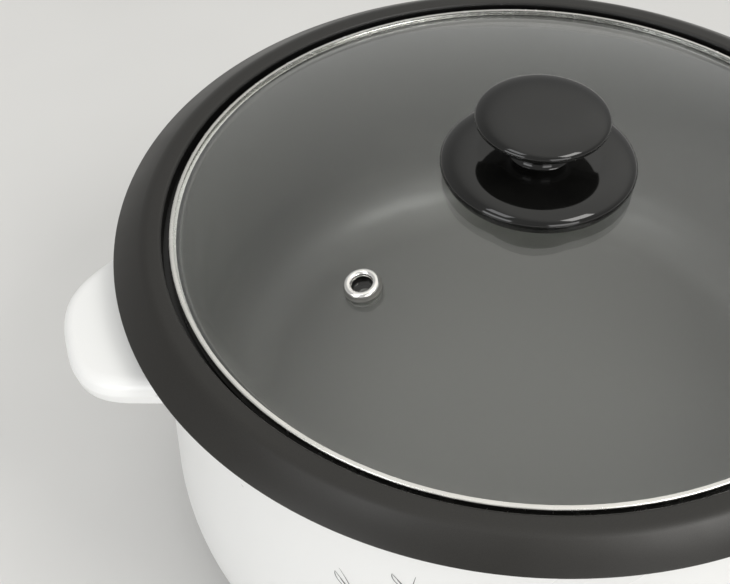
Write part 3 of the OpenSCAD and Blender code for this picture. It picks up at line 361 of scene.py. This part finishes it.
def mesh_piece(name, points, faces, material, body, replaced=(), smooth_angle=40):
    """A smooth-shaded piece that rides on a body."""
    mesh = bpy.data.meshes.new(name)
    mesh.from_pydata([tuple(p) for p in points], [], faces)
    cleaned = bmesh.new()
    cleaned.from_mesh(mesh)
    bmesh.ops.recalc_face_normals(cleaned, faces=cleaned.faces)
    cleaned.to_mesh(mesh)
    cleaned.free()
    mesh.shade_smooth()
    mesh.set_sharp_from_angle(angle=math.radians(smooth_angle))
    mesh.materials.append(material)
    piece = bpy.data.objects.new(name, mesh)
    bpy.context.scene.collection.objects.link(piece)
    if replaced:
        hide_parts(*replaced)
    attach(piece, body)


def corners(*places):
    """Part of an outline through these places (r, z)."""
    return [Vector(place) for place in places]


def arc(centre, radius, start, end, steps):
    """Points of an arc about centre, angles in degrees."""
    turns = [math.radians(start + (end - start) * k / steps) for k in range(steps + 1)]
    return [Vector(centre) + radius * Vector((math.cos(a), math.sin(a))) for a in turns]


def lathe(outline, segments, closed=False):
    """Points and faces of the outline turned about Z. A point on the axis becomes one vertex."""
    points, rows = [], []
    for r, z in outline:
        if r < 1e-7:
            rows.append([len(points)] * segments)
            points.append((0, 0, z))
            continue
        rows.append([len(points) + k for k in range(segments)])
        for k in range(segments):
            a = 2 * math.pi * k / segments
            points.append((r * math.cos(a), r * math.sin(a), z))
    faces = []
    above = rows[1:] + rows[:1] if closed else rows[1:]
    for low, high in zip(rows, above):
        for k in range(segments):
            n = (k + 1) % segments
            face = []
            for v in (low[k], low[n], high[n], high[k]):
                if v not in face:
                    face.append(v)
            if len(face) > 2:
                faces.append(face)
    return points, faces


# ---------------------------------------------------------------- lid

GLASS_THICKNESS = 4 * MM
GLASS_RISE = 26.8 * MM


def glass_sphere():
    """Radius of the sphere that the dome's outside follows, and the height of its centre."""
    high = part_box("lid_glass")[1]
    radius = (high.x**2 + GLASS_RISE**2) / (2 * GLASS_RISE)
    return radius, high.z - radius


def make_glass(material):
    """The domed glass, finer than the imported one, with a ground rim under the band."""
    low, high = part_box("lid_glass")
    sphere, middle = glass_sphere()
    inner = sphere - GLASS_THICKNESS
    reach = math.degrees(math.asin(high.x / sphere))
    inner_reach = math.degrees(math.acos((low.z - middle) / inner))
    outline = arc((0, middle), sphere, 90, 90 - reach, 40)
    outline += corners((high.x, low.z))
    outline += arc((0, middle), inner, 90 - inner_reach, 90, 40)
    points, faces = lathe(outline, 192)
    mesh_piece("clear_lid_glass", points, faces, material, "lid", ["lid_glass"], 30)


# ---------------------------------------------------------------- knob

STEM_R = 10.5 * MM
KNOB_SEGMENTS = 224
KNOB_SHARP = 45

# Lower disc: height of its widest place above its foot, radius and fall of its flat top, radius of
# its bore, tuck of its rim, and the rim's height over the glass.
SAUCER_EDGE = 1.4 * MM
SAUCER_FLAT_R = 23 * MM
SAUCER_FALL = 0.7 * MM
SAUCER_BORE = 4 * MM
SAUCER_TUCK = 1.5 * MM
SAUCER_OVER_GLASS = 0.12 * MM

# Upper disc: height of its crown, roll of its rim, curve of its neck and drop above it, radius of
# its bore, and flare of its foot.
CAP_CROWN = 4 * MM
CAP_ROLL = 2.4 * MM
CAP_NECK = 5 * MM
CAP_NECK_DROP = 3 * MM
CAP_BORE = 5 * MM
CAP_FLARE = 1.2 * MM


def curl(x, power):
    """Height from 1 to 0 of a flat top that rolls down at x = 1; a higher power rolls later."""
    return max(0, 1 - x**power) ** 0.5


def make_lower_disc(material):
    """The knob's lower disc: a saucer that stands with its rim close to the glass."""
    low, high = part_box("knob_base")
    edge_z, rim, top = low.z + SAUCER_EDGE, high.x, high.z
    shoulder = top - SAUCER_FALL
    sphere, middle = glass_sphere()
    foot_r = rim - SAUCER_TUCK
    foot_z = middle + math.sqrt(sphere**2 - foot_r**2) + SAUCER_OVER_GLASS
    inside = foot_r - 2 * MM
    outline = corners((SAUCER_BORE, low.z), (inside, low.z), (inside, foot_z + 0.1 * MM))
    outline += corners((foot_r - 1.2 * MM, foot_z), (foot_r, foot_z))
    for k in range(1, 13):
        t = k / 12
        r = foot_r + (rim - foot_r) * math.sin(t * math.pi / 2)
        outline += corners((r, foot_z + (edge_z - foot_z) * t))
    for k in range(1, 41):
        x = math.cos(k / 40 * math.pi / 2)
        r = SAUCER_FLAT_R + (rim - SAUCER_FLAT_R) * x
        outline += corners((r, edge_z + (shoulder - edge_z) * curl(x, 2.6)))
    for k in range(1, 13):
        r = SAUCER_FLAT_R + (STEM_R - SAUCER_FLAT_R) * k / 12
        share = (r**2 - STEM_R**2) / (SAUCER_FLAT_R**2 - STEM_R**2)
        outline += corners((r, shoulder + (top - shoulder) * (1 - share)))
    outline += corners((0, top))
    points, faces = lathe(outline, KNOB_SEGMENTS)
    mesh_piece("knob_disc_lower", points, faces, material, "lid", ["knob_base"], KNOB_SHARP)


def make_upper_disc(material):
    """The knob's upper disc: a crowned cap on a waisted stem."""
    low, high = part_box("knob_cap")
    root, rim = low.z, high.x
    edge_z = high.z - CAP_CROWN
    neck_z = edge_z - CAP_ROLL - CAP_NECK - CAP_NECK_DROP
    outline = corners((CAP_BORE, root), (STEM_R + CAP_FLARE, root))
    outline += corners((STEM_R + 0.3 * MM, root + 0.8 * MM), (STEM_R, root + 2 * MM))
    outline += arc((STEM_R + CAP_NECK, neck_z), CAP_NECK, 180, 115, 16)
    outline += arc((rim - CAP_ROLL, edge_z), CAP_ROLL, -70, 0, 16)
    for k in range(1, 49):
        x = math.cos(k / 48 * math.pi / 2)
        outline += corners((rim * x, edge_z + CAP_CROWN * curl(x, 4.2)))
    points, faces = lathe(outline, KNOB_SEGMENTS)
    mesh_piece("knob_disc_upper", points, faces, material, "lid", ["knob_cap"], KNOB_SHARP)


# ---------------------------------------------------------------- pan

PAN_DEPTH = 97 * MM
PAN_BEND = 27 * MM
PAN_WALL = 3 * MM
MOUTH_R, FOOT_R, LIP_R = 134 * MM, 131 * MM, 142.4 * MM
SEAT_WALL = 2.5 * MM
SEAT_ROLL = 1.2 * MM
COAT_SKIN = 0.03 * MM

# Flange: slopes of its skirt and crown in degrees, the crease's roll, the drop from crown to rim,
# the crown's and the skirt's thickness, and the roll on its inner lip and its rim.
SKIRT_SLOPE, CROWN_SLOPE = 34, 5
CREASE_ROLL = 9 * MM
RIM_DROP = 8.3 * MM
CROWN_WALL, SKIRT_WALL, LIP_WALL = 3.1 * MM, 2.4 * MM, 2.9 * MM
LIP_ROLL, RIM_ROLL = 1.5 * MM, 0.6 * MM


def make_pan(material):
    """The coated bowl as one smooth turned piece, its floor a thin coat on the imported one."""
    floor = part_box("pan_floor")[1].z
    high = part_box("pan")[1]
    seat, crown, edge, rim = floor + PAN_DEPTH, high.z, high.z - RIM_DROP, high.x
    under = crown - CROWN_WALL
    taper = math.degrees(math.atan2(MOUTH_R - FOOT_R, seat - floor - PAN_BEND))
    centre = (FOOT_R - PAN_BEND, floor + PAN_BEND)
    slope, flat, roll = math.radians(SKIRT_SLOPE), math.radians(CROWN_SLOPE), CREASE_ROLL
    start = LIP_R + LIP_ROLL
    reach = roll * (math.sin(slope) - math.sin(flat))
    fall = roll * (math.cos(flat) - math.cos(slope))
    skirt_rise = edge - crown - start * math.tan(flat) + fall + (rim - reach) * math.tan(slope)
    bend_r = skirt_rise / (math.tan(slope) - math.tan(flat))
    bend_z = crown - (bend_r - start) * math.tan(flat)
    crease = (bend_r - roll * math.sin(flat), bend_z - roll * math.cos(flat))
    outline = corners(*((r * MM, floor + COAT_SKIN) for r in (0, 30, 70, 100)))
    outline += arc(centre, PAN_BEND, -90, -taper, 40)
    outline += arc((MOUTH_R + SEAT_ROLL, seat - SEAT_ROLL), SEAT_ROLL, 180, 90, 8)
    outline += corners((LIP_R - 0.2 * MM, seat))
    outline += arc((LIP_R + LIP_ROLL, crown - LIP_ROLL), LIP_ROLL, 180, 90, 10)
    outline += arc(crease, roll, 90 - CROWN_SLOPE, 90 - SKIRT_SLOPE, 20)
    outline += arc((rim - RIM_ROLL, edge - 0.1 * MM), RIM_ROLL, 40, -90, 8)
    outline += corners((rim - SKIRT_WALL, edge - 0.7 * MM))
    outline += corners((rim - SKIRT_WALL - (under - edge + RIM_ROLL), under))
    outline += corners((LIP_R + LIP_WALL, under), (LIP_R + LIP_WALL, seat - SEAT_WALL))
    outline += corners((MOUTH_R + PAN_WALL, seat - SEAT_WALL))
    outline += arc(centre, PAN_BEND + PAN_WALL, -taper, -90, 24)
    outline += corners((FOOT_R - PAN_BEND, floor + COAT_SKIN / 3), (0, floor + COAT_SKIN / 3))
    points, faces = lathe(outline, 256)
    mesh_piece("coated_pan", points, faces, material, "pot", ["pan"], 38)


# ---------------------------------------------------------------- steam vent

VENT_DISTANCE = 85 * MM
VENT_BEARING = math.radians(-154.7)
VENT_SEGMENTS = 96
VENT_SHARP = 50

# Radii of the eyelet's bore, its tube and its ring, and the ring's roll and height over the glass.
BORE_R, TUBE_R, RING_R = 3.85 * MM, 4.45 * MM, 6.4 * MM
RING_ROLL = 1.27 * MM
RING_FOOT = 0.75 * MM

# Top, bottom and radius of the flat collar under the glass, in which the eyelet's tube ends.
COLLAR_TOP, COLLAR_BOTTOM = -4.8 * MM, -5.6 * MM
COLLAR_R = RING_R - 0.6 * MM


def vent_frame():
    """Place and tilt of the vent: its origin is on the glass, its Z along the glass's normal."""
    sphere, middle = glass_sphere()
    tilt = math.asin(VENT_DISTANCE / sphere)
    place = Matrix.Translation((0, 0, middle))
    turn = Matrix.Rotation(VENT_BEARING, 4, "Z") @ Matrix.Rotation(tilt, 4, "Y")
    return place @ turn @ Matrix.Translation((0, 0, sphere))


def vent_mesh(place, outline, segments=VENT_SEGMENTS, closed=True):
    """Points and faces of an outline turned about the vent's own axis."""
    points, faces = lathe(outline, segments, closed)
    return [place @ Vector(p) for p in points], faces


def make_vent(ring_steel):
    """The vent's rolled steel eyelet, its sleeve darkened as painted shade, and a near-black sheet
    of painted shade in its bore.
    """
    place = vent_frame()
    ring = arc((BORE_R + RING_ROLL, RING_FOOT + RING_ROLL), RING_ROLL, 205, -20, 22)
    ring += corners((RING_R - 0.3 * MM, 0.78 * MM), (TUBE_R, 0.76 * MM), (TUBE_R, 0.2 * MM))
    ring += corners((BORE_R, 0.2 * MM), (BORE_R, RING_FOOT + RING_ROLL * 0.6))
    points, faces = vent_mesh(place, ring)
    mesh_piece("vent_ring", points, faces, ring_steel, "lid", ["vent_eyelet"], VENT_SHARP)

    sleeve = corners((TUBE_R, 0.19 * MM), (TUBE_R, COLLAR_TOP), (COLLAR_R, COLLAR_TOP))
    sleeve += corners((COLLAR_R, COLLAR_BOTTOM), (BORE_R, COLLAR_BOTTOM), (BORE_R, 0.19 * MM))
    points, faces = vent_mesh(place, sleeve)
    # Painted shade: the sleeve is the same steel as the ring, coloured dark grey where it lies in
    # shade under the glass.
    shaded_sleeve_steel = sheet_metal("vent_steel_painted_shade", SLEEVE_PAINTED_SHADE, 0.45).material
    mesh_piece("vent_sleeve", points, faces, shaded_sleeve_steel, "lid", ["vent_eyelet"], VENT_SHARP)

    # A near-black sheet inside the bore: painted shade, where the hole is dark.
    lining = corners((BORE_R - 1.5 * MM, -5.55 * MM), (BORE_R - 0.5 * MM, -5.3 * MM))
    lining += corners(*((BORE_R - 0.06 * MM, z * MM) for z in (-4.6, -3, -0.5, 0.9)))
    lining += corners((BORE_R - 0.02 * MM, 1.35 * MM))
    points, faces = vent_mesh(place, lining, 64, closed=False)
    bore_shade = moulded("vent_bore_painted_shade", BORE_PAINTED_SHADE, 0.5, 0.4 * MM, 0.01 * MM)
    bore_shade.set(Specular_IOR_Level=0.12)
    mesh_piece("vent_bore_shade_sheet", points, faces, bore_shade.material, "lid")


# ---------------------------------------------------------------- drawing on the shell

BODY_RADIUS = 145.6 * MM
TUCK_HEIGHT, TUCK_RADIUS = 38.6 * MM, 70 * MM
FLARE_HEIGHT = 67 * MM
SHELL_TOP_RADIUS = 153.7 * MM
SHELL_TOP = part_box("outer_shell")[1].z

# The drawing in mm: its pen, and how far its ink stands proud of the shell.
PEN_WIDTH = 0.42
PEN_POINT = 0.35
INK_PROUD = 0.05

# Each group of reeds: where it stands, in mm round from the front, and whether it is mirrored.
REED_GROUPS = ((-84, 1), (84, -1), (-330, -1), (330, 1))
# Each reed: place, height, lean, and its leaves: share of the height, side, length.
REEDS = (
    (-20, 46, -9, ((0.15, -1, 19), (0.4, 1, 17), (0.66, -1, 13))),
    (-4, 60, 4, ((0.1, 1, 22), (0.34, -1, 20), (0.56, 1, 17), (0.76, -1, 12))),
    (14, 40, 11, ((0.2, 1, 16), (0.5, -1, 13), (0.72, 1, 11))),
)
REED_FOOT = 56
STEM_STEPS = 40
# Each ripple: where it starts and ends.
RIPPLES = ((-34, 27), (-24, 38), (-38, 12))
RIPPLE_TOP, RIPPLE_GAP, RIPPLE_HEIGHT = 53, 4.5, 0.9


def shell_radius(z):
    """Outer radius of the shell at height z, above its bottom corner."""
    if z < TUCK_HEIGHT:
        return BODY_RADIUS - TUCK_RADIUS + math.sqrt(TUCK_RADIUS**2 - (TUCK_HEIGHT - z) ** 2)
    if z > FLARE_HEIGHT:
        rise, out = SHELL_TOP - FLARE_HEIGHT, SHELL_TOP_RADIUS - BODY_RADIUS
        bend = (rise**2 + out**2) / (2 * out)
        return BODY_RADIUS + bend - math.sqrt(bend**2 - (z - FLARE_HEIGHT) ** 2)
    return BODY_RADIUS


def on_shell(u, z, proud):
    """The point of the shell u metres round from the front, at height z, raised by proud metres."""
    angle = u / BODY_RADIUS - math.pi / 2
    radius = shell_radius(z) + proud
    return Vector((radius * math.cos(angle), radius * math.sin(angle), z))


def bezier(p0, p1, p2, p3, steps):
    """Points of a plane Bezier curve."""
    points = []
    for k in range(steps + 1):
        t = k / steps
        s = 1 - t
        weights = (s**3, 3 * s * s * t, 3 * s * t * t, t**3)
        points.append([sum(w * c for w, c in zip(weights, cs)) for cs in zip(p0, p1, p2, p3)])
    return points


def pen_line(path):
    """Left and right edges of a pen stroke along a plane path, thinner at its ends."""
    edges = []
    last = len(path) - 1
    for i, (x, y) in enumerate(path):
        ahead, behind = path[min(i + 1, last)], path[max(i - 1, 0)]
        along = Vector((ahead[0] - behind[0], ahead[1] - behind[1])).normalized()
        press = PEN_POINT + (1 - PEN_POINT) * min(1, 6 * min(i, last - i) / last)
        side = Vector((-along.y, along.x)) * PEN_WIDTH * press / 2
        edges.append(((x + side.x, y + side.y), (x - side.x, y - side.y)))
    return edges


def leaf(foot, side, length):
    """A long narrow leaf: its two edges and a short vein."""
    x, y = foot

    def spot(across, up):
        return (x + side * length * across, y + length * up)

    strokes = []
    for bulge in (0.1, 0.42):
        near, far = spot(0.05 + bulge * 0.9, 0.22), spot(0.3 + bulge * 0.75, 0.5)
        strokes.append(bezier(foot, near, far, spot(0.55, 0.8), 20))
    strokes.append(bezier(foot, spot(0.22, 0.22), spot(0.35, 0.42), spot(0.42, 0.6), 14))
    return strokes


def reed(x, y, height, lean, leaves):
    """Plain reed: a bent stem with long narrow leaves."""
    near, far = (x, y + height * 0.4), (x + lean * 0.3, y + height * 0.75)
    stem = bezier((x, y), near, far, (x + lean, y + height), STEM_STEPS)
    strokes = [stem]
    for share, side, length in leaves:
        strokes += leaf(stem[int(share * STEM_STEPS)], side, length)
    return strokes


def ripple(row, start, end):
    """A small wavy line from start to end, in that row below the reeds."""
    path = []
    for k in range(61):
        wave = RIPPLE_HEIGHT * math.sin(k * 0.55 + row)
        path.append((start + (end - start) * k / 60, RIPPLE_TOP - RIPPLE_GAP * row + wave))
    return path


def make_drawing():
    """A plain thin-line drawing of reeds and ripples, twice on the front and twice on the back."""
    ink = moulded("print_grey", PRINT_GREY, 0.4, 2 * MM, 0.002 * MM).material
    strokes = []
    for centre, mirror in REED_GROUPS:
        group = [stroke for x, *shape in REEDS for stroke in reed(x, REED_FOOT, *shape)]
        group += [ripple(row, start, end) for row, (start, end) in enumerate(RIPPLES)]
        strokes += [[(centre + mirror * x, y) for x, y in stroke] for stroke in group]
    points, faces = [], []
    for path in strokes:
        first = len(points)
        for edges in pen_line(path):
            points += [on_shell(u * MM, z * MM, INK_PROUD * MM) for u, z in edges]
        for k in range(len(path) - 1):
            a = first + 2 * k
            faces.append((a, a + 1, a + 3, a + 2))
    mesh_piece("shell_drawing", points, faces, ink, "pot")


# ---------------------------------------------------------------- marks round the dial

DIAL_HEIGHT = 38 * MM
PANEL_PROUD = 2.2 * MM
MARK_PROUD = 0.04 * MM

# Ticks: their step in degrees, their reach, and half the width of a long and a short one.
TICK_COUNT, TICK_STEP = 13, 22.5
TICK_INNER, TICK_OUTER = 19.7 * MM, 20.9 * MM
TICK_WIDE, TICK_NARROW = 0.35 * MM, 0.2 * MM

# Numerals, and the degrees by which each is turned from the top.
NUMERALS = (("1", 45), ("2", 90), ("3", 135), ("4", 225), ("5", 270))
NUMERAL_RADIUS = 24.8 * MM
NUMERAL_SIZE = 4.2 * MM


def on_panel(x, z):
    """The point of the front panel's face at x and z, a hair proud of it."""
    radius = shell_radius(z) + PANEL_PROUD + MARK_PROUD
    return Vector((x, -math.sqrt(radius**2 - x * x), z))


def glyph(text, size):
    """Points and faces of a numeral in the plane, centred, from Blender's own plain font."""
    curve = bpy.data.curves.new("numeral", "FONT")
    curve.body = text
    curve.size = size
    curve.align_x = "CENTER"
    curve.align_y = "CENTER"
    holder = bpy.data.objects.new("numeral", curve)
    mesh = bpy.data.meshes.new_from_object(holder)
    points = [(v.co.x, v.co.y) for v in mesh.vertices]
    faces = [tuple(p.vertices) for p in mesh.polygons]
    bpy.data.objects.remove(holder)
    bpy.data.meshes.remove(mesh)
    return points, faces


def make_marks():
    """Ticks on the dial's seat and plain numerals on the panel."""
    paint = moulded("mark_white", MARK_WHITE, 0.45, 1 * MM, 0.002 * MM).material
    seat_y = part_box("control_panel")[0].y - MARK_PROUD
    points, faces = [], []
    for k in range(TICK_COUNT):
        angle = math.radians(90 - TICK_STEP * k)
        along = Vector((math.cos(angle), math.sin(angle)))
        side = Vector((-along.y, along.x)) * (TICK_WIDE if k % 2 == 0 else TICK_NARROW)
        first = len(points)
        for reach, sign in ((TICK_INNER, 1), (TICK_OUTER, 1), (TICK_OUTER, -1), (TICK_INNER, -1)):
            spot = along * reach + side * sign
            points.append(Vector((spot.x, seat_y, DIAL_HEIGHT + spot.y)))
        faces.append(tuple(range(first, first + 4)))
    for text, turn in NUMERALS:
        angle = math.radians(90 - turn)
        x0 = NUMERAL_RADIUS * math.cos(angle)
        z0 = DIAL_HEIGHT + NUMERAL_RADIUS * math.sin(angle)
        flat_points, flat_faces = glyph(text, NUMERAL_SIZE)
        first = len(points)
        points += [on_panel(x0 + x, z0 + z) for x, z in flat_points]
        faces += [tuple(first + i for i in face) for face in flat_faces]
    mesh_piece("dial_marks", points, faces, paint, "pot")


# ---------------------------------------------------------------- light and floor

# Each lamp: name, place, height that it is aimed at over the origin, width, height, power, colour.
LAMPS = (
    ("key", (0.79, -1.01, 1.65), 0.12, 0.8, 0.7, 12, (1, 0.985, 0.96)),
    ("high_fill", (-1.1, -0.42, 1.74), 0.12, 0.7, 0.6, 4, (0.98, 0.99, 1)),
    ("left_fill", (-1.68, -0.97, 0.6), 0.1, 1.1, 0.8, 9, (0.98, 0.99, 1)),
    ("front_fill", (0.34, -1.93, 0.54), 0.1, 1.1, 0.8, 9, (1, 0.99, 0.98)),
)

FLOOR_REACH = 6
FLOOR_DARK, FLOOR_LIGHT = (0.66, 0.656, 0.648), (0.7, 0.696, 0.688)

# The studio's colour at its sides and overhead, and the direction in which it is brightest.
STUDIO_SIDE, STUDIO_TOP = (0.5, 0.5, 0.49), (1.08, 1.07, 1.03)
STUDIO_BRIGHTEST = Vector((0.35, 0.1, 0.93))


def make_lamps():
    for name, place, aim, width, height, power, colour in LAMPS:
        data = bpy.data.lights.new(name, "AREA")
        data.shape = "RECTANGLE"
        data.size = width
        data.size_y = height
        data.energy = power
        data.color = colour
        lamp = bpy.data.objects.new(name, data)
        lamp.location = place
        towards = Vector((0, 0, aim)) - Vector(place)
        lamp.rotation_euler = towards.to_track_quat("-Z", "Y").to_euler()
        bpy.context.scene.collection.objects.link(lamp)


def make_floor():
    """A plain pale floor, slightly uneven in its paint."""
    mesh = bpy.data.meshes.new("floor")
    square = ((-1, -1), (1, -1), (1, 1), (-1, 1))
    mesh.from_pydata([(x * FLOOR_REACH, y * FLOOR_REACH, 0) for x, y in square], [], [(0, 1, 2, 3)])
    floor = bpy.data.objects.new("floor", mesh)
    bpy.context.scene.collection.objects.link(floor)
    f = Finish("floor_paint").set(Roughness=0.6)
    f.colour(f.mix(f.spread(f.noise(200 * MM, 3), 0, 1), FLOOR_DARK, FLOOR_LIGHT))
    mesh.materials.append(f.material)


def make_world():
    """A pale studio: soft everywhere, and brighter overhead."""
    world = bpy.data.worlds.new("studio")
    bpy.context.scene.world = world
    world.use_nodes = True
    tree = world.node_tree
    background = tree.nodes["Background"]
    background.inputs["Strength"].default_value = 1
    place = tree.nodes.new("ShaderNodeTexCoord")
    towards = tree.nodes.new("ShaderNodeVectorMath")
    towards.operation = "DOT_PRODUCT"
    towards.inputs[1].default_value = STUDIO_BRIGHTEST.normalized()
    glow = tree.nodes.new("ShaderNodeMapRange")
    glow.interpolation_type = "SMOOTHERSTEP"
    glow.inputs["From Min"].default_value = 0.5
    glow.inputs["From Max"].default_value = 0.95
    colours = tree.nodes.new("ShaderNodeMix")
    colours.data_type = "RGBA"
    colours.inputs[MIX_FIRST].default_value = (*STUDIO_SIDE, 1)
    colours.inputs[MIX_SECOND].default_value = (*STUDIO_TOP, 1)
    link = tree.links.new
    link(place.outputs["Generated"], towards.inputs[0])
    link(towards.outputs["Value"], glow.inputs["Value"])
    link(glow.outputs["Result"], colours.inputs[MIX_FACTOR])
    link(colours.outputs[MIX_RESULT], background.inputs["Color"])


# ---------------------------------------------------------------- the scene

make_camera()
materials = dress_nodes()
make_glass(materials["lid_glass"])
make_pan(materials["nonstick_aluminium"])
make_lower_disc(materials["knob_plastic"])
make_upper_disc(materials["knob_plastic"])
make_vent(sheet_metal("vent_steel", VENT_STEEL, 0.2, POLISHED_DEPTH).material)
make_drawing()
make_marks()
make_floor()
make_world()
make_lamps()

bpy.context.scene.view_settings.view_transform = "Standard"
